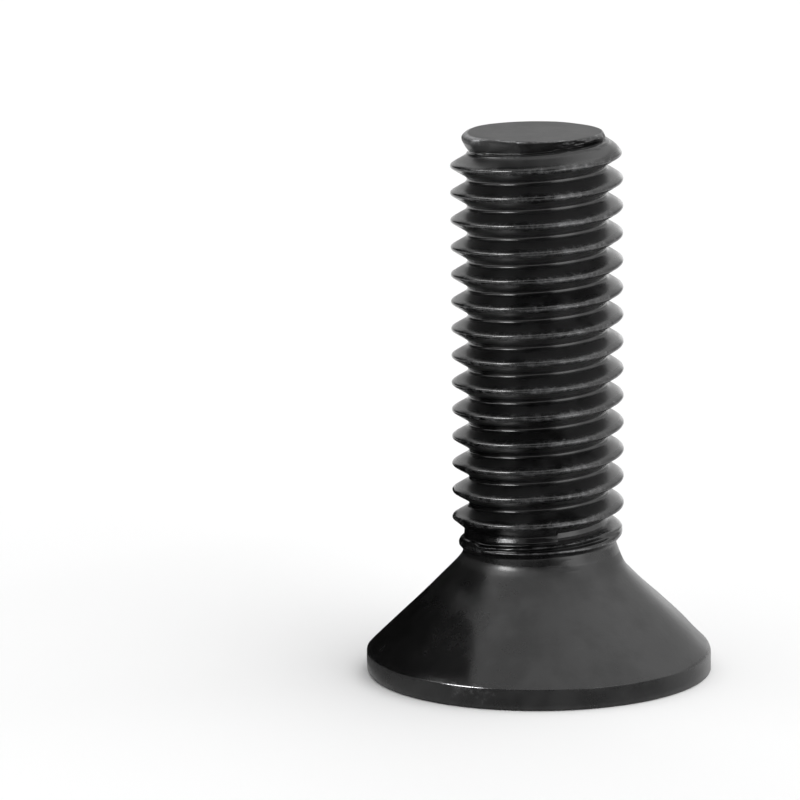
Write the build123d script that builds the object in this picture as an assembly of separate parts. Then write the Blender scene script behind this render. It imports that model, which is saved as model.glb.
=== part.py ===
from build123d import *
import math
import os

# Countersunk socket screw, M8 x 1.25, 25 mm over all, standing on its head.
# One solid of cold-forged and thread-rolled steel.  The flat face of the head
# lies in z = 0 with the origin at its centre, the screw axis is +Z and the
# threaded end is at z = length.  All dimensions are in millimetres.

# ---- driving dimensions ------------------------------------------------------
length = 25.0              # over all, as a countersunk screw is measured
head_d = 15.9              # outside diameter of the head's cylindrical rim
face_edge = 0.12           # rounding between the flat face and the rim
rim_edge = 0.12            # rounding between the rim and the cone
cone_apex_z = 8.90         # height where the 90 degree cone would come to a point
neck_d = 7.02              # plain neck between the cone and the thread
neck_z = 5.70              # height where the neck is narrowest
neck_fillet = 0.70         # fillet between the cone and the neck
shoulder_d = 7.56          # the blank swells to this edge above the neck ...
shoulder_z = 6.17          # ... at this height

pitch = 1.25               # M8 coarse
crest_d = 7.84             # over the thread crests, M8 6g
root_d = 6.306             # at the bottom of the thread
crest_flat = pitch / 8     # width of the crest
root_flat = 0.17           # width of the bottom of the groove
thread_phase = 0.3365      # height of a crest at angle 0, less whole pitches
runout_top_z = 6.85        # the blank reaches the crest diameter here
runout_angle = -65.0       # the full groove runs out at this angle ...
runout_turn = 24.0         # ... over this many degrees
runout_pitches = 5         # ... in the groove above this crest

tip_d = 6.16               # flat face at the threaded end
tip_chamfer_h = 1.02       # height of the end chamfer

socket_af = 5.05           # hexagon across the flats, for a 5 mm key
socket_depth = 3.2         # depth of the flats
socket_mouth = 0.05        # edge break at the mouth
socket_cone = 118.0        # included angle of the conical bottom

head_r = head_d / 2
neck_r = neck_d / 2
crest_r = crest_d / 2
root_r = root_d / 2
rim_h = cone_apex_z - head_r          # height of the cylindrical rim

# ---- the turned outline: head, rim, 90 degree cone, neck, blank, end chamfer --
cone_end_z = cone_apex_z - neck_r     # where the cone would meet the neck
fillet_room = (neck_z - cone_end_z) / math.tan(math.radians(22.5))
with BuildPart() as body:
    with BuildSketch(Plane.XZ) as outline:
        with BuildLine():
            Polyline(
                (0, 0),
                (head_r, 0),
                (head_r, rim_h),
                (neck_r, cone_end_z),
                (neck_r, neck_z),
                (shoulder_d / 2, shoulder_z),
                (crest_r, runout_top_z),
                (crest_r, length - tip_chamfer_h),
                (tip_d / 2, length),
                (0, length),
                (0, 0),
            )
        make_face()
        corner = outline.vertices()

        def at(r, z):
            return [v for v in corner if abs(v.X - r) < 1e-6 and abs(v.Z - z) < 1e-6]

        fillet(at(head_r, 0), face_edge)
        corner = outline.vertices()
        fillet(at(head_r, rim_h), rim_edge)
    revolve(axis=Axis.Z)
    ring = [
        e
        for e in body.edges().filter_by(GeomType.CIRCLE)
        if abs(e.center().Z - cone_end_z) < 1e-4 and abs(e.radius - neck_r) < 1e-4
    ]
    fillet(ring, min(neck_fillet, 0.95 * fillet_room))
screw = body.part

# ---- the hexagon socket ------------------------------------------------------
hex_r = socket_af / math.sqrt(3)      # across-corners radius
with BuildPart() as key:
    with BuildSketch(Plane.XY.offset(-1)):
        RegularPolygon(radius=hex_r, side_count=6)
    extrude(amount=socket_depth + 1)
cone_h = hex_r / math.tan(math.radians(socket_cone / 2))
bottom = Pos(0, 0, socket_depth + cone_h / 2) * Cone(hex_r, 0, cone_h)
# the conical bottom is bounded by the same hexagon
with BuildPart() as floor_prism:
    with BuildSketch(Plane.XY.offset(socket_depth - 0.01)):
        RegularPolygon(radius=hex_r, side_count=6)
    extrude(amount=cone_h + 0.02)
bottom = bottom & floor_prism.part
screw = screw - key.part - bottom
mouth = [
    e
    for e in screw.edges().filter_by(GeomType.LINE)
    if abs(e.center().Z) < 1e-6 and abs(e.length - hex_r) < 1e-4
]
screw = chamfer(mouth, socket_mouth)

# ---- the rolled thread -------------------------------------------------------
flank = math.tan(math.radians(30))
out_r = crest_r + 0.35                # the cutting profile reaches past the crests


def groove_half(radius):
    """Half the width of the groove at a radius."""
    return (pitch - crest_flat) / 2 - (crest_r - radius) * flank


def corners(floor_r):
    """Section of the groove as (radius, height above the groove's middle)."""
    w_out = groove_half(out_r)
    w_in = max(groove_half(floor_r), root_flat / 2)
    return [(floor_r, -w_in), (out_r, -w_out), (out_r, w_out), (floor_r, w_in)]


def place(corner, angle):
    """A corner of the section on the right-hand helix at an angle, which counts
    on past 360 degrees while the height rises by one pitch a turn."""
    radius, dz = corner
    a = math.radians(angle)
    z = thread_phase + pitch / 2 + pitch * angle / 360 + dz
    return Vector(radius * math.cos(a), radius * math.sin(a), z)


def helix_edge(c0, c1, a0, a1):
    """The path of one corner from one angle to another."""
    if abs(c0[0] - c1[0]) < 1e-9 and abs(c0[1] - c1[1]) < 1e-9:
        edge = Edge.make_helix(pitch, pitch * (a1 - a0) / 360, c0[0])
        return edge.rotate(Axis.Z, a0).translate(Vector(0, 0, place(c0, a0).Z))
    n = 12
    pts = []
    for i in range(n + 1):
        t = i / n
        c = (c0[0] + (c1[0] - c0[0]) * t, c0[1] + (c1[1] - c0[1]) * t)
        pts.append(place(c, a0 + (a1 - a0) * t))
    return Edge.make_spline(pts)


def groove(stations):
    """A closed solid along the helix through stations of (angle, floor radius)."""
    faces = []
    for (a0, r0), (a1, r1) in zip(stations, stations[1:]):
        c0, c1 = corners(r0), corners(r1)
        edges = [helix_edge(p, q, a0, a1) for p, q in zip(c0, c1)]
        for i in range(4):
            faces.append(Face.make_surface_from_curves(edges[i], edges[(i + 1) % 4]))
    for angle, floor_r in (stations[0], stations[-1]):
        wire = Wire.make_polygon([place(c, angle) for c in corners(floor_r)], close=True)
        faces.append(Face(wire))
    return Solid(Shell(faces))


full_start = runout_pitches * 360 + runout_angle
full_end = (length + pitch) / pitch * 360
turns = math.ceil((full_end - full_start) / 360)
deep = groove(
    [(full_start - runout_turn, neck_r), (full_start, root_r)]
    + [(full_start + 360 * (i + 1), root_r) for i in range(turns)]
)
shallow = groove([(full_start - 330, neck_r), (full_start - 20, neck_r)])

for cutter in (deep, shallow):
    screw = screw - cutter

screw = Solid(screw.solids()[0].wrapped)
screw.label = "countersunk_screw"

os.makedirs("parts", exist_ok=True)
export_step(screw, "parts/countersunk_screw.step")
print("volume mm3", round(screw.volume, 2), "valid", screw.is_valid, "faces", len(screw.faces()))
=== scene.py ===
import math

import bpy
import numpy as np
from mathutils import Matrix


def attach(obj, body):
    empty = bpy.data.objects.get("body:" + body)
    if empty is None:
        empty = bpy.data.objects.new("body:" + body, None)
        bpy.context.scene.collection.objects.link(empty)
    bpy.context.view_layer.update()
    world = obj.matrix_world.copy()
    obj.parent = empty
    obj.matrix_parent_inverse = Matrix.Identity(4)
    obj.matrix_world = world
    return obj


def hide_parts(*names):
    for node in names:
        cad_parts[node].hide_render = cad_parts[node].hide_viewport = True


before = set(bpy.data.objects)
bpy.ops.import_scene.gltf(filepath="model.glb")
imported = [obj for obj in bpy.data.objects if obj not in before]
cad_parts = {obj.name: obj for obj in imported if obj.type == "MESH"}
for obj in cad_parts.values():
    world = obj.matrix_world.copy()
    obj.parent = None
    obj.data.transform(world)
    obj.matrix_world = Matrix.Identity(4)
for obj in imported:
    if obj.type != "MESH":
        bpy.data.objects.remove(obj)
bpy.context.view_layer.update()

MM = 0.001
scene = bpy.context.scene

# ------------------------------------------------------------------ camera ----
# fitted to the photograph's silhouettes and thread lines; all in millimetres
CAM_PLACE = (0.0, -244.3159, 62.0929)
CAM_PAN, CAM_TILT, CAM_ROLL = (math.radians(a) for a in (-1.47425, 11.43915, -0.5834))
CAM_FOCAL_PX = 5457.9883

forward = np.array([math.sin(CAM_PAN) * math.cos(CAM_TILT), math.cos(CAM_PAN) * math.cos(CAM_TILT), -math.sin(CAM_TILT)])
right = np.array([math.cos(CAM_PAN), -math.sin(CAM_PAN), 0.0])
up = np.cross(right, forward)
right_r = math.cos(CAM_ROLL) * right + math.sin(CAM_ROLL) * up
up_r = math.cos(CAM_ROLL) * up - math.sin(CAM_ROLL) * right
turn = Matrix([[right_r[i], up_r[i], -forward[i]] for i in range(3)]).to_4x4()
camera_data = bpy.data.cameras.new("camera")
camera_data.sensor_fit = "HORIZONTAL"
camera_data.sensor_width = 36.0
camera_data.lens = CAM_FOCAL_PX / 800.0 * 36.0
camera_data.clip_start = 0.01
camera_data.clip_end = 100.0
camera = bpy.data.objects.new("camera", camera_data)
camera.matrix_world = Matrix.Translation([c * MM for c in CAM_PLACE]) @ turn
scene.collection.objects.link(camera)
scene.camera = camera

# ------------------------------------------------------------- dimensions ----
PITCH = 1.25
PHASE = 0.345            # height of a crest at angle 0, less whole pitches
CREST_R = 3.925
ROOT_R = 3.153
CREST_HALF = PITCH / 16
LENGTH = 25.0
TIP_R = 3.055
TIP_SLOPE = 0.83         # how fast the end chamfer widens going down
HEAD_R = 7.93
RIM_Z = 1.005
HEX_AF = 5.05
HEX_DEPTH = 3.2
TAN30 = math.tan(math.radians(30))


def smin(a, b, k):
    h = np.clip(0.5 + 0.5 * (b - a) / k, 0, 1)
    return b + (a - b) * h - k * h * (1 - h)


def smax(a, b, k):
    return -smin(-a, -b, k)


def step(x, a, b):
    t = np.clip((x - a) / (b - a), 0, 1)
    return t * t * (3 - 2 * t)


class Noise:
    """Smooth value noise on a grid that wraps round the screw in its first coordinate."""

    def __init__(self, seed, around, rows=256):
        self.grid = np.random.RandomState(seed).uniform(-1, 1, (around, rows))
        self.around, self.rows = around, rows

    def at(self, theta, y):
        x = (np.asarray(theta, float) / 360.0 % 1.0) * self.around
        y = np.asarray(y, float)
        i, j = np.floor(x).astype(int), np.floor(y).astype(int)
        fx, fy = x - i, y - j
        fx, fy = fx * fx * (3 - 2 * fx), fy * fy * (3 - 2 * fy)
        i0, i1 = i % self.around, (i + 1) % self.around
        j0, j1 = j % self.rows, (j + 1) % self.rows
        g = self.grid
        return (g[i0, j0] * (1 - fx) + g[i1, j0] * fx) * (1 - fy) + (g[i0, j1] * (1 - fx) + g[i1, j1] * fx) * fy


N_LOW = Noise(11, 5)
N_MID = Noise(12, 22)
N_FINE = Noise(13, 75)
N_TEAR = Noise(14, 64)

# --------------------------------------------------------- thread surface ----
# The ridge nearest the head isn't filled: it is low, and hollow between two lips.  By the
# angle counted along the helix from that ridge's place at angle 0: radius at the lower
# lip, distance of the lower lip below the ridge's middle, distance of the upper lip above
# it, radius at the upper lip, depth of the hollow
RIDGE = np.array([
    (-900, 3.44, 0.050, 0.100, 3.44, 0.0), (-330, 3.46, 0.050, 0.100, 3.46, 0.0), (-250, 3.52, 0.050, 0.100, 3.52, 0.0),
    (-195, 3.60, 0.050, 0.100, 3.60, 0.0), (-180, 3.64, 0.050, 0.110, 3.65, 0.0), (-150, 3.61, 0.060, 0.100, 3.62, 0.010),
    (-129, 3.605, 0.070, 0.165, 3.60, 0.080), (-113, 3.61, 0.075, 0.200, 3.60, 0.110), (-96, 3.62, 0.085, 0.220, 3.60, 0.120),
    (-83, 3.63, 0.095, 0.235, 3.60, 0.130), (-72, 3.64, 0.115, 0.255, 3.60, 0.150), (-58, 3.67, 0.145, 0.285, 3.59, 0.180),
    (-50, 3.68, 0.160, 0.300, 3.57, 0.190), (-40, 3.71, 0.165, 0.315, 3.54, 0.180), (-30, 3.745, 0.165, 0.300, 3.51, 0.130),
    (-12, 3.82, 0.165, 0.190, 3.74, 0.020),
    (5, 3.865, 0.150, 0.115, 3.865, 0.0), (40, 3.90, 0.100, 0.085, 3.90, 0.0), (80, CREST_R, 0.078, 0.078, CREST_R, 0.0),
    (9000, CREST_R, 0.078, 0.078, CREST_R, 0.0),
])
# profile of the neck and its fillet, height and radius: a wide fillet on one side of
# the screw and a deeper neck on the other
NECK_WIDE = np.array([
    (4.00, 4.865), (4.60, 4.265), (4.72, 4.155), (4.84, 4.055), (4.96, 3.975), (5.10, 3.905), (5.30, 3.815), (5.50, 3.735),
    (5.75, 3.645), (5.95, 3.573), (6.03, 3.550), (6.20, 3.535), (9.0, 3.530),
])
NECK_DEEP = np.array([
    (4.00, 4.865), (4.60, 4.270), (4.80, 4.072), (4.95, 3.926), (5.08, 3.805), (5.18, 3.718), (5.28, 3.640), (5.35, 3.587),
    (5.41, 3.546), (5.47, 3.512), (5.53, 3.486), (5.59, 3.468), (5.68, 3.450), (5.80, 3.430), (5.95, 3.408), (6.10, 3.392), (9.0, 3.384),
])
FULL_FROM = -75.0        # the full groove starts here, counted along the helix
ROOT_HALF = PITCH / 2 - CREST_HALF - (CREST_R - ROOT_R) * TAN30


def turned(theta):
    return (np.asarray(theta, float) + 180.0) % 360.0 - 180.0


def neck_radius(theta, z):
    t = turned(theta)
    wide = step(t, -98, -46) * (1 - step(t, 60, 140))
    r = np.interp(z, *NECK_WIDE.T) * wide + np.interp(z, *NECK_DEEP.T) * (1 - wide)
    # two small marks raised in rolling, and a faint line between them
    for turn_at, half, at, tall, high in ((-68.0, 5.0, 5.84, 0.035, 0.020), (-67.0, 8.0, 5.37, 0.045, 0.022), (-77.0, 10.0, 5.55, 0.05, -0.022)):
        r = r + high * np.exp(-((z - at) / tall) ** 2) * (1 - step(np.abs(t - turn_at), 0.5 * half, half))
    return r


def ridge_top(rho, along):
    """The ridge's section at a height above its middle: lower lip, upper lip, radius at the
    upper lip, and radius of its top."""
    low_r, foot, lip, lip_r, hollow = (np.interp(along, RIDGE[:, 0], RIDGE[:, k]) for k in range(1, 6))
    across = np.clip((rho + foot) / (foot + lip), 0, 1)
    # the hollow is steep above the lower lip and comes up evenly to the upper one
    dip = np.clip(np.minimum((rho + 0.015) / 0.04, (lip - 0.05 - rho) / np.maximum(lip - 0.075, 0.02)), 0, 1)
    return -foot, lip, lip_r, low_r * (1 - across) + lip_r * across - hollow * dip


def raw_radius(theta, z):
    """Radius of the screw's shank before edges are eased; theta in degrees."""
    u = (z - PHASE) / PITCH - theta / 360.0
    groove = np.floor(u)
    s = (u - groove - 0.5) * PITCH
    along = theta + 360.0 * (groove - 5)
    _, low_lip, lip_r, low_top = ridge_top(s + PITCH / 2, along)
    high_foot, _, _, high_top = ridge_top(s - PITCH / 2, along + 360.0)
    top = np.where(s < 0, low_top, high_top)
    lip_s = -PITCH / 2 + low_lip
    # the flank next to the shank's end stands a little high on one side
    swell = 0.115 * (1 - step(np.abs(turned(theta) - 2.0), 8.0, 62.0)) * (groove == 19)
    # regular groove, its bottom fully rounded
    upper = ROOT_R + (s - ROOT_HALF) / TAN30
    rounded = smin(smax(ROOT_R + (swell - ROOT_HALF - s) / TAN30, upper, 0.74), top, 0.12)
    # where it starts its floor is flat and low, its lower side steep and its upper side not
    floor_r = ROOT_R + np.interp(s, [-0.31, -0.13, -0.10, 0.14], [0.015, 0.055, 0.050, 0.005])
    start = np.maximum(ROOT_R + (-0.30 - s) * (lip_r - ROOT_R) / np.maximum(-0.30 - lip_s, 0.02), np.maximum(upper, floor_r))
    start = np.minimum(start, top)
    early = 1 - step(along, -38.0, 25.0)
    full = rounded * (1 - early) + start * early
    # shallow groove where the rolling started: a narrow crack, a sloping bed, a slanting
    # upper side; further back the ridge's flank runs straight into the bed
    bed = np.interp(s, [-0.35, -0.30, -0.27, -0.245, 0.035, 0.54, 0.625], [3.37, 3.33, 3.38, 3.492, 3.392, 3.90, 3.985])
    bed = np.where(s < -0.35, 3.37 + (-0.35 - s) * (lip_r - 3.37) / np.maximum(-0.35 - lip_s, 0.02), bed)
    far = np.interp(s, [-0.365, -0.275, 0.035, 0.12, 0.54, 0.625], [3.565, 3.405, 3.385, 3.40, 3.90, 3.985])
    far = np.where(s < -0.365, 3.565 + (-0.365 - s) * (lip_r - 3.565) / np.maximum(-0.365 - lip_s, 0.02), far)
    k_far = 1 - step(along, -150.0, -134.0)
    shallow = np.minimum(np.maximum(bed * (1 - k_far) + far * k_far, upper), top)
    neck = neck_radius(theta, z)
    shallow = np.maximum(shallow, neck)
    # plain neck under the last ridge
    below = np.maximum(0.0, high_foot - (s - PITCH / 2))
    plain = np.maximum(neck, high_top - 0.80 * below)
    k_full = step(along, FULL_FROM - 0.35, FULL_FROM + 0.35)
    k_shallow = step(along, -345.0, -215.0)
    r = plain * (1 - k_shallow) + shallow * k_shallow
    return r * (1 - k_full) + full * k_full


# the end of the shank: depth below the end face and the radius that the forging keeps to
END_LEFT = np.array([
    (0.0, 3.08), (0.015, 3.16), (0.04, 3.24), (0.08, 3.31), (0.14, 3.36), (0.22, 3.395), (0.31, 3.395), (0.36, 3.375), (0.50, 3.30),
    (0.62, 3.235), (0.75, 3.14), (0.85, 3.085), (1.0, 3.10), (1.1, 3.20), (9.0, 3.20),
])
END_WALL = np.array([(0.0, 2.98), (0.02, 3.02), (0.05, 3.03), (0.10, 3.00), (0.62, 2.74), (0.67, 2.78), (0.73, 2.98), (0.80, 3.22), (9.0, 3.22)])
END_LEDGE = np.array([(0.0, 3.06), (0.02, 3.10), (0.06, 3.11), (0.12, 3.06), (0.62, 2.78), (0.67, 2.80), (0.73, 2.98), (0.80, 3.22), (9.0, 3.22)])
END_RIGHT = np.array([(0.0, 2.98), (0.03, 3.02), (0.10, 3.06), (0.20, 3.10), (0.30, 3.15), (0.36, 3.22), (0.44, 3.35), (0.56, 3.53), (0.68, 3.66), (0.80, 3.76), (0.90, 3.83), (0.96, 3.86), (1.25, 3.88), (1.5, 3.95), (9.0, 4.2)])


def end_limit(theta, z):
    t = turned(theta)
    depth = np.maximum(LENGTH - z, 0.0)
    chamfer = TIP_R + depth * TIP_SLOPE
    foot = depth * 0.73 / np.interp(t, [-150, -138, -104, -90, -70, -50], [0.73, 1.04, 1.04, 0.78, 0.52, 0.48])       # the wall is lower on one side
    wall = np.interp(foot, *END_WALL.T)
    ledge = np.interp(foot, *END_LEDGE.T)
    ridge = np.interp(depth, *END_RIGHT.T)
    k_ledge = step(t, -107.6, -106.4) * (1 - step(t, -100, -84))
    wall = wall * (1 - k_ledge) + ledge * k_ledge
    k_right = step(t, -34, -8)
    wall = wall * (1 - k_right) + np.minimum(ridge, 3.11) * k_right
    left = np.interp(depth, *END_LEFT.T)
    k_left = np.maximum(1 - step(t, -152, -134), step(t, 100, 150))
    k_chamfer = step(t, 38, 74) * (1 - step(t, 100, 150))
    limit = left * k_left + wall * (1 - k_left)
    u = (z - PHASE) / PITCH - theta / 360.0
    last = u > np.where(t < 87, 19.5, 18.5)
    k_own = k_right * (1 - step(t, 38, 74))
    limit = np.where(last, limit, np.maximum(limit, np.maximum(chamfer * (1 - k_own), ridge)))
    limit = limit * (1 - k_chamfer) + chamfer * k_chamfer
    # the sheared face reaches a little further at the back
    return limit + 0.15 * (step(t, 50, 85) * (1 - step(t, 125, 172)) + 0 * t) * (1 - step(depth, 0.05, 0.45))


TAPS = np.array([-2.0, -1.0, 0.0, 1.0, 2.0])
TAP_WEIGHT = np.exp(-0.5 * (TAPS / 1.1) ** 2)
TAP_WEIGHT /= TAP_WEIGHT.sum()


def shank_radius(theta, z):
    r = 0
    for tap, weight in zip(TAPS, TAP_WEIGHT):
        at = z + tap * 0.020
        r = r + weight * np.minimum(raw_radius(theta, at), end_limit(theta, np.minimum(at, LENGTH)))
    return np.minimum(r, end_limit(theta, z) + 0.02)

# ------------------------------------------------------------------- mesh ----
# columns of vertices every two degrees, with two drawn together at the step where
# the full groove starts
angles = -180.0 + 2.0 * np.arange(180)
angles[np.argmin(np.abs(angles + 76.0))] = FULL_FROM - 0.4
angles[np.argmin(np.abs(angles + 74.0))] = FULL_FROM + 0.4
COLUMNS = len(angles)
cos_a, sin_a = np.cos(np.radians(angles)), np.sin(np.radians(angles))
verts, faces = [], []
gloss, wear_and_highlight, painted_light_level = [], [], []      # roughness wanted, how worn (some of it painted highlight) and how much painted light lifts the base colour, at every vertex


def add_ring(r, z, rough=0.34, worn_and_highlighted=0.0, mottle_and_painted_light=1.0):
    r, z, rough, worn_and_highlighted, mottle_and_painted_light = (np.broadcast_to(np.asarray(v, float), (COLUMNS,)) for v in (r, z, rough, worn_and_highlighted, mottle_and_painted_light))
    painted_light_level.extend(mottle_and_painted_light)
    first = len(verts)
    for i in range(COLUMNS):
        verts.append((r[i] * cos_a[i], r[i] * sin_a[i], z[i]))
        gloss.append(rough[i])
        wear_and_highlight.append(worn_and_highlighted[i])
    return list(range(first, first + COLUMNS))


def join_rings(a, b):
    for i in range(COLUMNS):
        j = (i + 1) % COLUMNS
        faces.append((a[i], a[j], b[j], b[i]))


# hexagon socket, from its deepest point to the mouth
hex_r = HEX_AF / 2 / np.cos(np.radians((angles + 30.0) % 60.0 - 30.0))
cone_h = HEX_AF / math.sqrt(3) / math.tan(math.radians(59))
apex = len(verts)
verts.append((0.0, 0.0, HEX_DEPTH + cone_h - 0.05))
gloss.append(0.4)
wear_and_highlight.append(0.0)
painted_light_level.append(1.0)
rings = []
for f in (0.06, 0.16, 0.3, 0.45, 0.6, 0.75, 0.88, 0.96):
    blend = step(f, 0.3, 0.96)
    circle = f * HEX_AF / 2
    r = circle * (1 - blend) + f * hex_r * blend
    rings.append(add_ring(r, HEX_DEPTH + cone_h * (1 - r / (HEX_AF / math.sqrt(3))), 0.4))
for i in range(COLUMNS):
    faces.append((rings[0][i], rings[0][(i + 1) % COLUMNS], apex))
rings.append(add_ring(hex_r - 0.015, HEX_DEPTH + 0.03, 0.4))
for z in (HEX_DEPTH - 0.03, 2.7, 2.1, 1.5, 1.0, 0.6, 0.3, 0.16):
    rings.append(add_ring(hex_r, z, 0.3))
ragged = 0.010 * N_FINE.at(angles, 3.3) + 0.008 * N_MID.at(angles, 8.1)
rings.append(add_ring(hex_r + 0.003, 0.075, 0.25, 0.2))
rings.append(add_ring(hex_r + 0.012 + 0.3 * ragged, 0.028 + 0.5 * ragged, 0.22, 0.45))
rings.append(add_ring(hex_r + 0.040 + 0.5 * ragged, 0.012 + 0.5 * ragged, 0.22, 0.55))
rings.append(add_ring(hex_r + 0.085, 0.022 + 0.3 * ragged, 0.28, 0.3))
rings.append(add_ring(hex_r + 0.15, 0.038, 0.4))
rings.append(add_ring(hex_r + 0.30, 0.040, 0.42))


def face_z(r):
    """The forged face is dished a few hundredths of a millimetre."""
    return 0.040 * (1 - step(np.asarray(r, float), 4.2, 7.4))


for f in (0.15, 0.35, 0.6, 0.85):
    r = (hex_r + 0.30) * (1 - f) + 4.4 * f
    rings.append(add_ring(r, face_z(r) + 0.003 * N_LOW.at(angles, 1 + f), 0.42))
for r in (4.9, 5.5, 6.1, 6.7, 7.2, 7.5):
    rings.append(add_ring(r, face_z(r) + 0.003 * N_LOW.at(angles, r * 1.7), 0.42))
# rim: rounded edge, land, edge to the cone
lump = 0.006 * N_MID.at(angles, 4.0) + 0.010 * N_LOW.at(angles, 6.0)
rim_edge = 0.13 + 0.05 * np.cos(np.radians(angles + 150))
rings.append(add_ring(HEAD_R - rim_edge - 0.06, 0.0, 0.38, 0.0))
for a in (0, 15, 30, 45, 60, 75, 90):
    ca, sa = math.cos(math.radians(a)), math.sin(math.radians(a))
    rings.append(add_ring(HEAD_R - rim_edge * (1 - sa) + lump * sa, rim_edge * (1 - ca), 0.30, 0.04))

# roundness of the edge between land and cone: larger at the right of the view
away = np.abs(turned(angles - 12.0))
edge_round = 0.06 + 0.43 * (1 - step(away, 12.0, 62.0)) + 0.02 * N_LOW.at(angles, 20.0)
cone_line = np.array([
    (1.0, 8.925), (1.3, 8.93), (1.8, 8.915), (2.3, 8.90), (2.9, 8.865), (3.5, 8.85), (4.1, 8.86), (4.6, 8.868),
])
rim_z = RIM_Z + 0.02 * N_LOW.at(angles, 23.0)
tangent = edge_round * math.tan(math.radians(22.5))
land_r = HEAD_R + lump
# a place on the edge that was knocked (a small dent) and is made bright steel where the strip light's reflection falls:
# wear and a painted highlight
knock_and_highlight = step(angles, -124.5, -120) * (1 - step(angles, -111, -106))
edge_wear_and_highlight = 0.08 + 0.10 * np.maximum(0, N_FINE.at(angles, 61.0)) + 0.80 * knock_and_highlight
for f in (0.18, 0.4, 0.62, 0.82):
    z = rim_edge + (rim_z - tangent - rim_edge) * f
    chips = 0.24 * step(angles, -124, -118) * (1 - step(angles, -107, -101)) * (0.25 + 0.75 * f)
    rings.append(add_ring(land_r + 0.003 * N_MID.at(angles, 30 + f * 3), z, 0.30, chips))
for a in (0, 9, 18, 27, 36, 45):
    ca, sa = math.cos(math.radians(a)), math.sin(math.radians(a))
    rings.append(add_ring(land_r - edge_round * (1 - ca) - 0.012 * knock_and_highlight * sa, rim_z - tangent + edge_round * sa, 0.26, edge_wear_and_highlight * (1 if 0 < a < 40 else 0.35)))
painted_side_light = 0.15 + 0.85 * np.maximum(step(angles, -125, -108) * (1 - step(angles, 150, 180)), 0)      # painted light and shade: the cone's base colour is lighter on its lit side and darker on the shaded side
# a painted lit patch: lighter base colour partway up the shaded side of the cone
painted_lit_patch = step(angles, -156, -138) * (1 - step(angles, 150, 180))


# painted light level of the cone's base colour at a height
def painted_light_at(z):
    return np.maximum(painted_side_light, 0.9 * painted_lit_patch * step(z, 3.1, 3.9) * (1 - step(z, 4.6, 4.95)))


z_start = rim_z - tangent + edge_round * math.sin(math.radians(45))
r_start = land_r - edge_round * (1 - math.cos(math.radians(45)))
fuller = 0.09 * (1 - step(np.abs(turned(angles + 2.0)), 28, 70))
excess = (r_start + z_start) - np.interp(z_start, cone_line[:, 0], cone_line[:, 1])
for k, z in enumerate((1.22, 1.55, 1.8, 2.1, 2.5, 2.9, 3.3, 3.7, 4.05, 4.35)):
    zz = np.maximum(z, z_start + 0.03) if k == 0 else z
    r = np.interp(zz, cone_line[:, 0], cone_line[:, 1]) - zz + excess * (1 - step(zz, 1.2, 2.4))
    r = r + 0.004 * N_LOW.at(angles, 40 + z) + fuller * step(z, 1.5, 2.4) * (1 - step(z, 3.1, 4.1))
    rings.append(add_ring(r, zz, 0.31 - 0.06 * (1 - painted_side_light) / 0.85 * (1 - step(z, 3.3, 4.1)), 0.0, painted_light_at(z)))
# fillet, with a burnished spot
for z in (4.55, 4.7, 4.82, 4.92, 5.0, 5.07, 5.14, 5.21, 5.28, 5.32, 5.36, 5.40, 5.44, 5.48, 5.52, 5.56):
    spot = step(angles, -124, -119) * (1 - step(angles, -108, -104)) * step(z, 5.26, 5.34)
    rings.append(add_ring(neck_radius(angles, z) + 0.005 * N_MID.at(angles, 50 + z), z, 0.31 + 0.12 * step(z, 5.1, 5.3) - 0.12 * spot, 0.0, painted_light_at(z)))
for a, b in zip(rings, rings[1:]):
    join_rings(a, b)

# threaded shank: rows follow the helix, columns go straight up
BASE_Z, TOP_Z = 5.60, 24.985
regular = [-0.105, -0.075, -0.04, 0.0, 0.04, 0.075, 0.105, 0.22, 0.36, 0.45, 0.50, 0.55, 0.59, 0.625]
phases = sorted({round(s / PITCH, 6) for s in regular} | {round(-s / PITCH, 6) for s in regular if abs(s) < 0.62})
dense = []
for a, b in zip(phases, phases[1:] + [phases[0] + 1]):
    parts = max(1, int(math.ceil((b - a) * PITCH / 0.034)))
    dense += [round(a + (b - a) * i / parts, 6) for i in range(1, parts)]
dense = [d - 1 if d > 0.5 else d for d in dense]
rows = [(p, False) for p in phases] + [(p, True) for p in dense]


def row_z(m, p, theta):
    return PHASE + PITCH * (m + p + theta / 360.0)


columns = []
for i in range(COLUMNS):
    theta = angles[i]
    entries = []
    for m in range(2, 23):
        for k, (p, only_dense) in enumerate(rows):
            z = row_z(m, p, theta)
            if not BASE_Z + 0.012 < z < TOP_Z - 0.012:
                continue
            if only_dense and 7.6 < z < 23.7:
                continue
            entries.append((z, (m, k)))
    entries.sort()
    columns.append([(BASE_Z, "B")] + entries + [(TOP_Z, "T")])
point_theta, point_z = [], []
first_shank = len(verts)
index = []
for i, column in enumerate(columns):
    ids = {}
    for z, key in column:
        ids[key] = first_shank + len(point_z)
        point_theta.append(angles[i])
        point_z.append(z)
    index.append(ids)
point_theta, point_z = np.array(point_theta), np.array(point_z)
for i in range(COLUMNS):
    j = (i + 1) % COLUMNS
    wrap = j == 0
    left = [(key, index[i][key]) for _, key in columns[i]]
    right_keys = [(key, index[j][key]) for _, key in columns[j]]
    if wrap:
        right_keys = [((key[0] - 1, key[1]) if isinstance(key, tuple) else key, v) for key, v in right_keys]
    left_at = {key: n for n, (key, _) in enumerate(left)}
    right_at = {key: n for n, (key, _) in enumerate(right_keys)}
    common = [key for key, _ in left if key in right_at]
    for lo, hi in zip(common, common[1:]):
        a = [v for _, v in left[left_at[lo]:left_at[hi] + 1]]
        b = [v for _, v in right_keys[right_at[lo]:right_at[hi] + 1]]
        faces.append(tuple([a[0]] + b + a[:0:-1]))

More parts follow.
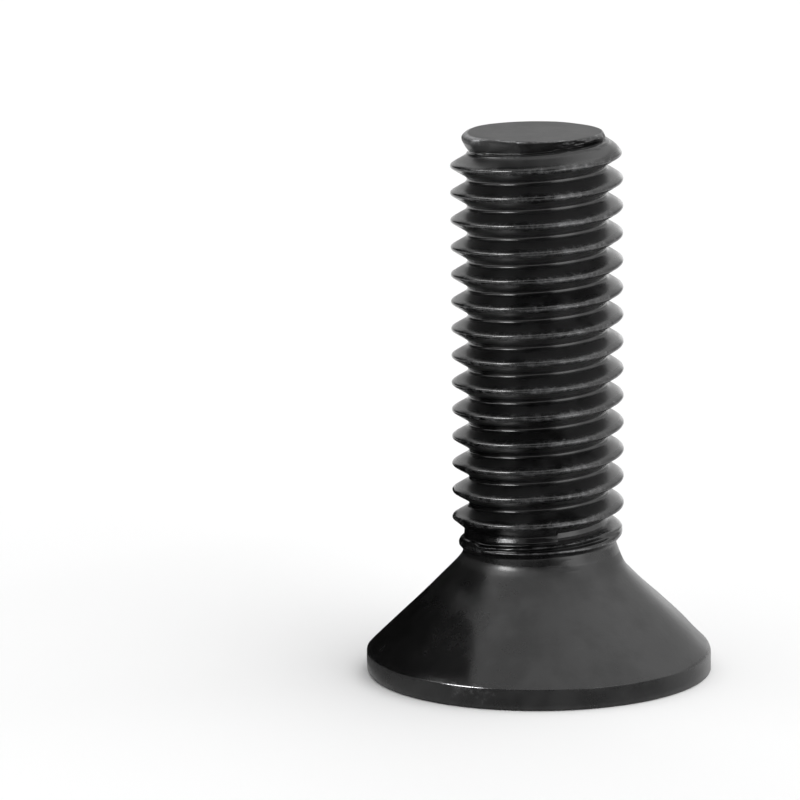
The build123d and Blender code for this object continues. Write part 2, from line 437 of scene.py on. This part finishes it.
radius = shank_radius(point_theta, point_z)
u = (point_z - PHASE) / PITCH - point_theta / 360.0
turn = np.round(u)
near_crest = 1 - step(np.abs(u - turn) * PITCH, 0.05, 0.30)
near_root = 1 - step(np.abs(u - np.floor(u) - 0.5) * PITCH, 0.08, 0.22)
depth = LENGTH - point_z
inside = step(depth, 0.02, 0.25)
# small unevenness of the rolled crests and flanks
radius += near_crest * inside * (0.005 * N_MID.at(point_theta + 40 * turn, turn * 3.7) + 0.002 * N_FINE.at(point_theta, turn * 5.3))
radius += 0.003 * N_LOW.at(point_theta, point_z * 0.8) * inside
# torn metal on the wall at the right front of the end, layers of it one below the other
tear = step(point_theta, -80, -64) * (1 - step(point_theta, -8, 6))
bulk = step(point_theta, -50, -40) * (1 - step(point_theta, -10, -2))
fewer = 1 - 0.8 * step(point_theta, -36, -12)      # the layers lie closer where the wall goes out of sight


def layer(at_depth, half, row, level):
    place = at_depth + 0.045 * N_MID.at(point_theta, row) + 0.02 * N_TEAR.at(point_theta, row + 1)
    size = np.clip(N_TEAR.at(point_theta, row + 2) + level, 0, 1)
    return size * np.clip(1 - np.abs(depth - place) / half, 0, 1) ** 0.7


radius += tear * fewer * (0.13 * layer(0.17, 0.06, 100, 0.35) + 0.08 * layer(0.33, 0.06, 110, 0.25) + 0.07 * layer(0.47, 0.05, 120, 0.0))
radius += bulk * fewer * 0.12 * (0.7 + 0.5 * N_TEAR.at(point_theta, point_z * 7.0)) * step(depth, 0.02, 0.10) * (1 - step(depth, 0.28, 0.38))
close = 1 - step(depth, 0.10, 0.50)
radius += close * (0.022 * tear + 0.005) * (N_TEAR.at(point_theta, point_z * 6.0) + 0.6 * N_FINE.at(point_theta, point_z * 9.0))
drop = 0.02 * (1 - step(depth, 0.015, 0.30)) * np.maximum(1 - step(point_theta, -142, -124), step(point_theta, 150, 172)) + (1 - step(depth, 0.015, 0.30)) * (
    tear * np.maximum(0, 0.03 + 0.07 * N_TEAR.at(point_theta, 77.0))
    + 0.005 * (1 + N_TEAR.at(point_theta, 31.0))
    + 0.030 * step(point_theta, -107.6, -106.4) * (1 - step(point_theta, -100, -86))
)
point_z_final = point_z - drop
rough_here = 0.34 - 0.20 * near_crest - 0.16 * near_root
in_neck = 1 - step(point_z, 5.9, 6.3)
rough_here = rough_here * (1 - in_neck) + 0.29 * in_neck
offset = (u - np.floor(u) - 0.5) * PITCH
on_bed = (point_theta + 360 * (np.floor(u) - 5) < FULL_FROM) * (point_theta + 360 * (np.floor(u) - 5) > -215)
rough_here = np.where(on_bed, 0.19, rough_here)
# brighter steel on the shallow groove's bed just where the strip light's reflection falls: a painted highlight
bed_highlight_painted = on_bed * step(point_theta, -126, -121) * (1 - step(point_theta, -109, -104)) * step(offset, -0.24, -0.14) * (1 - step(offset, 0.06, 0.16))
at_end = step(depth, 0.05, 0.12) * (1 - step(depth, 0.62, 0.70)) * (point_theta < 20) * (u > 19.4)
at_left = np.maximum(1 - step(point_theta, -150, -134), step(point_theta, 150, 172)) * (1 - step(depth, 0.34, 0.42)) + 0 * u
rough_here = rough_here * (1 - at_end) + 0.32 * at_end
rough_here = rough_here * inside + 0.36 * (1 - inside)
rough_here = rough_here * (1 - at_left) + (0.42 + 0.10 * step(depth, 0.10, 0.16)) * at_left
wear_and_highlight_here = near_crest * (0.25 + 0.06 * N_MID.at(point_theta + 25 * turn, turn * 1.9 + 60)) * inside
# the end's edge on the left made brighter steel where its rounding catches light: wear and a painted highlight
wear_and_highlight_here += at_left * (0.08 + 0.40 * (1 - step(depth, 0.11, 0.17)))
# the lips of the unfilled ridge are rubbed
along_here = point_theta + 360 * (turn - 5)
on_ridge = step(along_here, -140, -120) * (1 - step(along_here, -22, -8))
lip_at, foot_at = np.interp(along_here, RIDGE[:, 0], RIDGE[:, 3]), np.interp(along_here, RIDGE[:, 0], RIDGE[:, 2])
rho_here = (u - turn) * PITCH
lips = np.exp(-((rho_here - lip_at + 0.02) / 0.035) ** 2) + np.exp(-((rho_here + foot_at - 0.03) / 0.05) ** 2)
wear_and_highlight_here = wear_and_highlight_here * (1 - on_ridge) + on_ridge * (0.34 * lips + 0.02)
rough_here = rough_here * (1 - on_ridge * lips * 0.5)
# the end face's edge is worn all round and made brighter steel at the front, where it shows a light line: wear and a
# painted highlight
wear_and_highlight_here += (1 - step(depth, 0.03, 0.09)) * (0.20 + 0.22 * step(point_theta, -168, -150) * (1 - step(point_theta, -70, -50)))
wear_and_highlight_here += 0.10 * tear * (1 - step(depth, 0.3, 0.5)) + 0.34 * bed_highlight_painted
# crests made brighter steel where the light at the right reflects in them: a painted highlight
wear_and_highlight_here += 0.06 * near_crest * inside * step(point_theta, -85, -70) * (1 - step(point_theta, -55, -42))
for t, r, z in zip(point_theta, radius, point_z_final):
    a = math.radians(t)
    verts.append((r * math.cos(a), r * math.sin(a), z))
gloss += list(rough_here)
wear_and_highlight += list(wear_and_highlight_here)
# painted light and shade on the shank: base colour raised on the lit side, most on the flanks, and left dark on the
# shaded side
flank = (1 - near_crest) * (1 - near_root) * step(depth, 1.0, 1.4)
painted_light_level += list(0.30 + (0.40 + 2.2 * flank) * step(turned(point_theta), -128, -108) * (1 - step(turned(point_theta), 150, 180)))
base = [index[i]["B"] for i in range(COLUMNS)]
join_rings(rings[-1], base)

# sheared end face
edge = [index[i]["T"] for i in range(COLUMNS)]
edge_r = np.array([radius[v - first_shank] for v in edge])
edge_z = np.array([point_z_final[v - first_shank] for v in edge])
previous = edge
soft_side = np.maximum(1 - step(angles, -142, -124), step(angles, 150, 172))
for inset, weight, sink in ((0.012, 0.6, 0.030), (0.035, 0.25, 0.050), (0.09, 0.0, 0.052), (0.16, 0.0, 0.036), (0.25, 0.0, 0.016), (0.34, 0.0, 0.003), (0.7, 0.0, 0.0), (1.2, 0.0, 0.0), (1.9, 0.0, 0.0), (2.5, 0.0, 0.0)):
    z = (LENGTH - 0.003) * (1 - weight) + edge_z * weight + (0.003 * N_LOW.at(angles, inset * 3) if inset > 0.3 else 0) - 0.35 * sink * soft_side
    # outer rings of the end face: edge wear all round, brighter at the front as a painted highlight
    ring = add_ring(np.maximum(edge_r - inset, 0.3 if inset > 2 else 0.5), np.minimum(z, LENGTH), 0.36 if inset < 0.05 else 0.55, (0.24 + 0.16 * step(angles, -168, -150) * (1 - step(angles, -70, -50))) * (inset < 0.05) , 0.4)
    join_rings(previous, ring)
    previous = ring
centre = len(verts)
verts.append((0.0, 0.0, LENGTH - 0.004))
gloss.append(0.55)
wear_and_highlight.append(0.0)
painted_light_level.append(0.4)
for i in range(COLUMNS):
    faces.append((previous[i], previous[(i + 1) % COLUMNS], centre))

points = np.array(verts) * MM
mesh = bpy.data.meshes.new("screw")
mesh.from_pydata([tuple(p) for p in points], [], faces)
for name, values in (("gloss", gloss), ("wear_and_highlight", wear_and_highlight), ("painted_light_level", painted_light_level)):
    layer_data = mesh.attributes.new(name, "FLOAT", "POINT")
    layer_data.data.foreach_set("value", np.asarray(values, dtype=np.float32))
mesh.update()
mesh.polygons.foreach_set("use_smooth", [True] * len(mesh.polygons))
mesh.set_sharp_from_angle(angle=math.radians(42))
screw = bpy.data.objects.new("screw", mesh)
scene.collection.objects.link(screw)

# --------------------------------------------------------------- material ----
def node(tree, kind, **values):
    n = tree.nodes.new(kind)
    for key, value in values.items():
        setattr(n, key, value)
    return n


def math_node(tree, operation, a, b=None, c=None, clamp=False):
    n = node(tree, "ShaderNodeMath", operation=operation, use_clamp=clamp)
    for i, value in enumerate((a, b, c)):
        if value is None:
            continue
        if isinstance(value, (int, float)):
            n.inputs[i].default_value = value
        else:
            tree.links.new(value, n.inputs[i])
    return n.outputs[0]


def black_oxide():
    """Oiled black oxide on steel: dark and satin, with worn edges and a fine grain, and with painted light and shade in
    its base colour and painted highlights at some worn places.
    """
    material = bpy.data.materials.new("black_oxide_steel")
    material.use_nodes = True
    tree = material.node_tree
    tree.nodes.clear()
    out = node(tree, "ShaderNodeOutputMaterial")
    shader = node(tree, "ShaderNodeBsdfPrincipled")
    tree.links.new(shader.outputs[0], out.inputs[0])
    coords = node(tree, "ShaderNodeTexCoord")

    def noise(scale, detail=2.0, rough=0.5, stretch=None):
        n = node(tree, "ShaderNodeTexNoise")
        n.inputs["Scale"].default_value = scale
        n.inputs["Detail"].default_value = detail
        n.inputs["Roughness"].default_value = rough
        source = coords.outputs["Object"]
        if stretch:
            m = node(tree, "ShaderNodeMapping")
            m.inputs["Scale"].default_value = stretch
            tree.links.new(source, m.inputs["Vector"])
            source = m.outputs[0]
        tree.links.new(source, n.inputs["Vector"])
        return n.outputs["Fac"]

    def attribute(name):
        return node(tree, "ShaderNodeAttribute", attribute_name=name).outputs["Fac"]

    def smooth(value, a, b):
        n = node(tree, "ShaderNodeMapRange", interpolation_type="SMOOTHSTEP")
        tree.links.new(value, n.inputs["Value"])
        n.inputs["From Min"].default_value = a
        n.inputs["From Max"].default_value = b
        return n.outputs[0]

    def colour_mix(fac, a, b):
        n = node(tree, "ShaderNodeMix", data_type="RGBA")
        tree.links.new(fac, n.inputs["Factor"])
        for socket, value in ((n.inputs[6], a), (n.inputs[7], b)):
            if isinstance(value, tuple):
                socket.default_value = (*value, 1.0)
            else:
                tree.links.new(value, socket)
        return n.outputs[2]

    clouds = noise(230.0, 3.0, 0.55)          # blotches a few millimetres wide
    patches = noise(900.0, 4.0, 0.6)
    flecks = noise(3800.0, 3.0, 0.65)
    grain = noise(15000.0, 2.0, 0.5)
    # worn through to the steel where the wear attribute and the noise say so; some of the attribute's places are
    # painted highlights
    worn_and_highlighted = math_node(tree, "MULTIPLY_ADD", attribute("wear_and_highlight"), 1.15, math_node(tree, "MULTIPLY_ADD", flecks, 0.9, math_node(tree, "MULTIPLY", patches, 0.5)))
    worn_and_highlighted = smooth(worn_and_highlighted, 0.86, 1.70)
    # mottled dark base colour, raised by painted light on the lit side and the flanks and kept darkest on the shaded
    # side
    mottle_and_painted_light = math_node(tree, "MULTIPLY", smooth(math_node(tree, "MULTIPLY_ADD", clouds, 0.65, math_node(tree, "MULTIPLY", patches, 0.35)), 0.40, 0.62), attribute("painted_light_level"))
    dark = colour_mix(mottle_and_painted_light, (0.0018, 0.0018, 0.0019), (0.0135, 0.0135, 0.0138))
    steel = colour_mix(smooth(grain, 0.35, 0.65), (0.16, 0.16, 0.165), (0.30, 0.30, 0.305))
    tree.links.new(colour_mix(worn_and_highlighted, dark, steel), shader.inputs["Base Color"])
    tree.links.new(math_node(tree, "MULTIPLY", worn_and_highlighted, 0.9), shader.inputs["Metallic"])
    rough = math_node(tree, "MULTIPLY_ADD", clouds, 0.16, math_node(tree, "SUBTRACT", attribute("gloss"), 0.08))
    rough = math_node(tree, "ADD", rough, math_node(tree, "MULTIPLY_ADD", patches, 0.12, -0.06))
    rough = math_node(tree, "ADD", rough, math_node(tree, "MULTIPLY_ADD", flecks, 0.06, -0.03), clamp=True)
    tree.links.new(rough, shader.inputs["Roughness"])
    shader.inputs["IOR"].default_value = 1.5
    bump = node(tree, "ShaderNodeBump")
    bump.inputs["Strength"].default_value = 0.35
    bump.inputs["Distance"].default_value = 0.00002
    tree.links.new(math_node(tree, "MULTIPLY_ADD", flecks, 0.8, math_node(tree, "MULTIPLY", grain, 0.3)), bump.inputs["Height"])
    tree.links.new(bump.outputs[0], shader.inputs["Normal"])
    return material


mesh.materials.append(black_oxide())
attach(screw, "root")
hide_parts("countersunk_screw")

# ------------------------------------------------------------------ studio ----
floor_mesh = bpy.data.meshes.new("floor")
floor_mesh.from_pydata([(-4, -4, 0), (4, -4, 0), (4, 4, 0), (-4, 4, 0)], [], [(0, 1, 2, 3)])
floor = bpy.data.objects.new("floor", floor_mesh)
scene.collection.objects.link(floor)
floor_material = bpy.data.materials.new("pale_floor")
floor_material.use_nodes = True
floor_shader = floor_material.node_tree.nodes["Principled BSDF"]
floor_shader.inputs["Base Color"].default_value = (0.90, 0.90, 0.90, 1)
floor_shader.inputs["Roughness"].default_value = 0.9
floor_shader.inputs["Specular IOR Level"].default_value = 0.1
floor_mesh.materials.append(floor_material)


def card(name, points, faces, material):
    """A light or a dark card of the studio, seen only in reflections."""
    data = bpy.data.meshes.new(name)
    data.from_pydata([tuple(c * MM for c in p) for p in points], [], faces)
    thing = bpy.data.objects.new(name, data)
    scene.collection.objects.link(thing)
    for kind in ("visible_camera", "visible_shadow", "visible_diffuse", "visible_transmission", "visible_volume_scatter"):
        setattr(thing, kind, False)
    data.materials.append(material)
    return thing


# dark cards to the left of the object
dark = bpy.data.materials.new("dark_card")
dark.use_nodes = True
dark.node_tree.nodes["Principled BSDF"].inputs["Base Color"].default_value = (0.004, 0.004, 0.004, 1)
dark.node_tree.nodes["Principled BSDF"].inputs["Roughness"].default_value = 0.8
dark.node_tree.nodes["Principled BSDF"].inputs["Specular IOR Level"].default_value = 0.1
axis_from = np.array([-14.6, -1.5, 7.4])
axis_along = np.array([0.607, 0.777, -0.16])
axis_along /= np.linalg.norm(axis_along)
side = np.cross(axis_along, (0, 0, 1.0))
side /= np.linalg.norm(side)
over = np.cross(side, axis_along)
flag_points, flag_faces = [], []
for along, r in [(0.0, 0.0), (0.0, 7.4), (1.0, 7.4), (4.8, 3.8), (12.0, 3.8), (12.0, 0.0)]:
    for i in range(32):
        a = 2 * math.pi * i / 32
        flag_points.append(tuple(axis_from + axis_along * along + r * (math.cos(a) * side + math.sin(a) * over)))
for k in range(5):
    for i in range(32):
        j = (i + 1) % 32
        flag_faces.append((k * 32 + i, k * 32 + j, k * 32 + 32 + j, k * 32 + 32 + i))
card("flag", flag_points, flag_faces, dark)
# a dark sheet on the table under the flag, seen only in reflections: a painted shadow on the table
across = np.array([axis_along[1], -axis_along[0], 0.0]) / math.hypot(axis_along[0], axis_along[1])
ground = []
for t, w in ((-3.0, 2.2), (25.0, 2.2), (25.0, -7.0), (-3.0, -7.0)):
    place = axis_from + axis_along * t + across * w
    ground.append((place[0], place[1], 0.05))
card("painted_ground_shadow", ground, [(0, 1, 2, 3)], dark)
card("low_flag", [(-34, 17, 0), (-7.6, 17, 0), (-7.6, 17, 6.2), (-34, 17, 6.2)], [(0, 1, 2, 3)], dark)
# a curved card that stands close to the cone and its fillet, where they mirror it to the
# camera; rows are height, radius, slope of the surface and the turn the card starts at
look = np.array([0.0, 0.979, -0.204])
near_rows = [
    (0.9, 7.97, 45, -23), (1.6, 7.27, 45, -25), (2.4, 6.47, 45, -26), (3.2, 5.67, 45, -31), (3.6, 5.27, 45, -38),
    (4.0, 4.87, 45, -50), (4.5, 4.37, 45, -62), (4.8, 4.08, 43, -63), (5.0, 3.94, 38, -47), (5.2, 3.78, 29, -37), (5.4, 3.62, 22, -32),
]
near_points, near_faces = [], []
for z, r, slope, first_turn in near_rows:
    for k in range(16):
        a = math.radians(first_turn + (-96.0 - first_turn) * min(k, 12) / 12)
        rise = math.radians(slope)
        out = np.array([math.sin(a) * math.cos(rise), -math.cos(a) * math.cos(rise), math.sin(rise)])
        mirrored = look - 2 * (look @ out) * out
        near_points.append(tuple(np.array([r * math.sin(a), -r * math.cos(a), z]) + (2.6 + 3.0 * max(k - 12, 0)) * mirrored))
top_z = np.interp(range(16), [6, 9], [8.8, 6.8])
near_points += [(px, py, float(top_z[k])) for k, (px, py, _) in enumerate(near_points[7 * 16:8 * 16])]
near_points = [(px, py, float(np.interp(k, [1, 5], [2.8, 1.5]))) for k, (px, py, _) in enumerate(near_points[:16])] + near_points
for row in range(len(near_rows) + 1):
    for k in range(15):
        near_faces.append((row * 16 + k, row * 16 + k + 1, row * 16 + k + 17, row * 16 + k + 16))
card("near_flag", near_points, near_faces, dark)


def azimuth_of(tree, vector):
    split = node(tree, "ShaderNodeSeparateXYZ")
    tree.links.new(vector, split.inputs[0])
    x, y, z = split.outputs
    return math_node(tree, "MULTIPLY", math_node(tree, "ARCTAN2", x, math_node(tree, "MULTIPLY", y, -1.0)), 180 / math.pi), split.outputs


def ramp_up(tree, value, a, b):
    n = node(tree, "ShaderNodeMapRange", interpolation_type="SMOOTHSTEP")
    tree.links.new(value, n.inputs["Value"])
    n.inputs["From Min"].default_value = a
    n.inputs["From Max"].default_value = b
    return n.outputs[0]


def between(tree, value, a, b, soft):
    """1 from a to b, easing to 0 over soft on each side."""
    return math_node(tree, "SUBTRACT", ramp_up(tree, value, a - soft, a + soft), ramp_up(tree, value, b - soft, b + soft))


def mix(tree, fac, a, b):
    """a where fac is 0, b where it is 1"""
    n = node(tree, "ShaderNodeMapRange")
    tree.links.new(fac, n.inputs["Value"])
    for name, value in (("To Min", a), ("To Max", b)):
        if isinstance(value, (int, float)):
            n.inputs[name].default_value = value
        else:
            tree.links.new(value, n.inputs[name])
    return n.outputs[0]


def glow(name):
    """An emission material and its tree, coordinates and strength socket."""
    material = bpy.data.materials.new(name)
    material.use_nodes = True
    tree = material.node_tree
    tree.nodes.clear()
    out = node(tree, "ShaderNodeOutputMaterial")
    emission = node(tree, "ShaderNodeEmission")
    tree.links.new(emission.outputs[0], out.inputs[0])
    coords = node(tree, "ShaderNodeTexCoord")
    return material, tree, coords.outputs["Object"], emission.inputs["Strength"]


# strip light at the left: directions from the middle of the shank, in degrees
def strip(name, az, el, width, height, strength, soft):
    material, tree, place, level = glow(name)
    distance = 900.0
    a, e = math.radians(az), math.radians(el)
    out_dir = np.array([math.cos(e) * math.sin(a), -math.cos(e) * math.cos(a), math.sin(e)])
    across = np.array([math.cos(a), math.sin(a), 0.0])
    above = np.cross(across, -out_dir)
    above = above / np.linalg.norm(above) * (1 if above[2] > 0 else -1)
    w, h = distance * math.tan(math.radians(width / 2)), distance * math.tan(math.radians(height / 2))
    turn_to = Matrix([[across[i], above[i], out_dir[i], 0] for i in range(3)] + [[0, 0, 0, 1]])
    thing = card(name, [(-w, -h, 0), (w, -h, 0), (w, h, 0), (-w, h, 0)], [(0, 1, 2, 3)], material)
    middle = np.array([0, 0, 13.0]) + out_dir * distance
    thing.matrix_world = Matrix.Translation([c * MM for c in middle]) @ turn_to
    split = node(tree, "ShaderNodeSeparateXYZ")
    tree.links.new(place, split.inputs[0])
    x_part = between(tree, split.outputs[0], -w * MM * (1 - soft), w * MM * (1 - soft), w * MM * soft)
    y_part = between(tree, split.outputs[1], -h * MM * (1 - soft), h * MM * (1 - soft), h * MM * soft)
    tree.links.new(math_node(tree, "MULTIPLY", math_node(tree, "MULTIPLY", x_part, y_part), strength), level)


strip("strip_left", -56.0, 34.0, 27.0, 34.0, 17.0, 0.25)
strip("strip_side", -88.0, 36.0, 48.0, 34.0, 4.8, 0.30)


def table_glow(name, az0, az1, inner, outer, steps):
    """A bright sheet lying on the table between two azimuths; steps are (azimuth, level)."""
    material, tree, place, level = glow(name)
    points, sheet_faces = [], []
    count = 60
    for i in range(count + 1):
        a = math.radians(az0 + (az1 - az0) * i / count)
        for r in (inner, outer):
            points.append((r * math.sin(a), -r * math.cos(a), 0.03))
    for i in range(count):
        sheet_faces.append((2 * i, 2 * i + 1, 2 * i + 3, 2 * i + 2))
    card(name, points, sheet_faces, material)
    azimuth, _ = azimuth_of(tree, place)
    total = steps[0][1]
    for (a0, l0), (a1, l1) in zip(steps, steps[1:]):
        total = mix(tree, ramp_up(tree, azimuth, a0, a1), total, l1)
    tree.links.new(math_node(tree, "ADD", total, 0.0), level)


table_glow("sheet_right", 14, 126, 31.0, 320.0, [(14, 0.95), (36, 3.6), (56, 3.4), (74, 1.8), (92, 1.2), (125, 0.95)])
table_glow("sheet_left", -126, -30, 31.0, 320.0, [(-125, 0.80), (-106, 1.2), (-84, 1.4), (-50, 1.4), (-31, 0.80)])
# a dim sheet on the table round the head, seen only in reflections: painted shade of the table near the head, darkest
# to the left
table_glow("painted_table_shade", -180, 180, 8.4, 31.0, [(-180, 0.80), (-150, 0.20), (-110, 0.16), (-90, 0.19), (-76, 0.26), (-62, 0.46), (-45, 0.55), (0, 0.44), (40, 0.48), (70, 0.62), (95, 0.85), (130, 0.90), (160, 0.75), (180, 0.80)])

world = bpy.data.worlds.new("studio")
scene.world = world
world.use_nodes = True
tree = world.node_tree
tree.nodes.clear()
out = node(tree, "ShaderNodeOutputWorld")
coords = node(tree, "ShaderNodeTexCoord")
azimuth, (x, y, z) = azimuth_of(tree, coords.outputs["Generated"])
elevation = math_node(tree, "MULTIPLY", math_node(tree, "ARCSINE", z), 180 / math.pi)


def window(az0, az1, el0, el1, soft_az=6.0, soft_el=6.0):
    """1 inside the box of directions, 0 outside."""
    return math_node(tree, "MULTIPLY", between(tree, azimuth, az0, az1, soft_az), between(tree, elevation, el0, el1, soft_el))


light = mix(tree, ramp_up(tree, elevation, 8, 40), 0.88, 1.60)          # pale backdrop, brighter overhead
lean = math_node(tree, "MULTIPLY_ADD", x, 0.50, math_node(tree, "MULTIPLY_ADD", math_node(tree, "MAXIMUM", y, 0.0), 0.30, 1.0))
light = math_node(tree, "MULTIPLY", light, lean)
light = mix(tree, window(-26, 27, -30, 52, 8, 8), light, 0.10)          # dark room behind the camera
light = mix(tree, window(-66, -26, -30, 52, 8, 8), light, 0.55)
light = mix(tree, window(-152, -66, -30, 33, 6, 6), light, 0.06)        # dark side of the room
light = mix(tree, window(27, 104, -30, 58, 8, 10), light, 1.75)         # broad soft light at the right
light = mix(tree, window(30, 66, -30, 30, 8, 8), light, 3.40)
light = mix(tree, window(-190, -130, 45, 77, 7, 5), light, 0.07)        # dark behind and overhead
light = mix(tree, window(160, 190, 50, 77, 7, 5), light, 0.07)
light = mix(tree, window(157, 173, -6, 13, 5, 4), light, 2.10)
light = mix(tree, window(112, 158, -30, 46, 8, 8), light, math_node(tree, "MULTIPLY", light, 0.60))
path = node(tree, "ShaderNodeLightPath")
back = node(tree, "ShaderNodeBackground")
light = mix(tree, path.outputs["Is Diffuse Ray"], light, math_node(tree, "MULTIPLY", light, 1.2))
tree.links.new(mix(tree, path.outputs["Is Camera Ray"], light, 1.25), back.inputs["Strength"])
tree.links.new(back.outputs[0], out.inputs[0])

scene.view_settings.view_transform = "Standard"
scene.view_settings.look = "None"
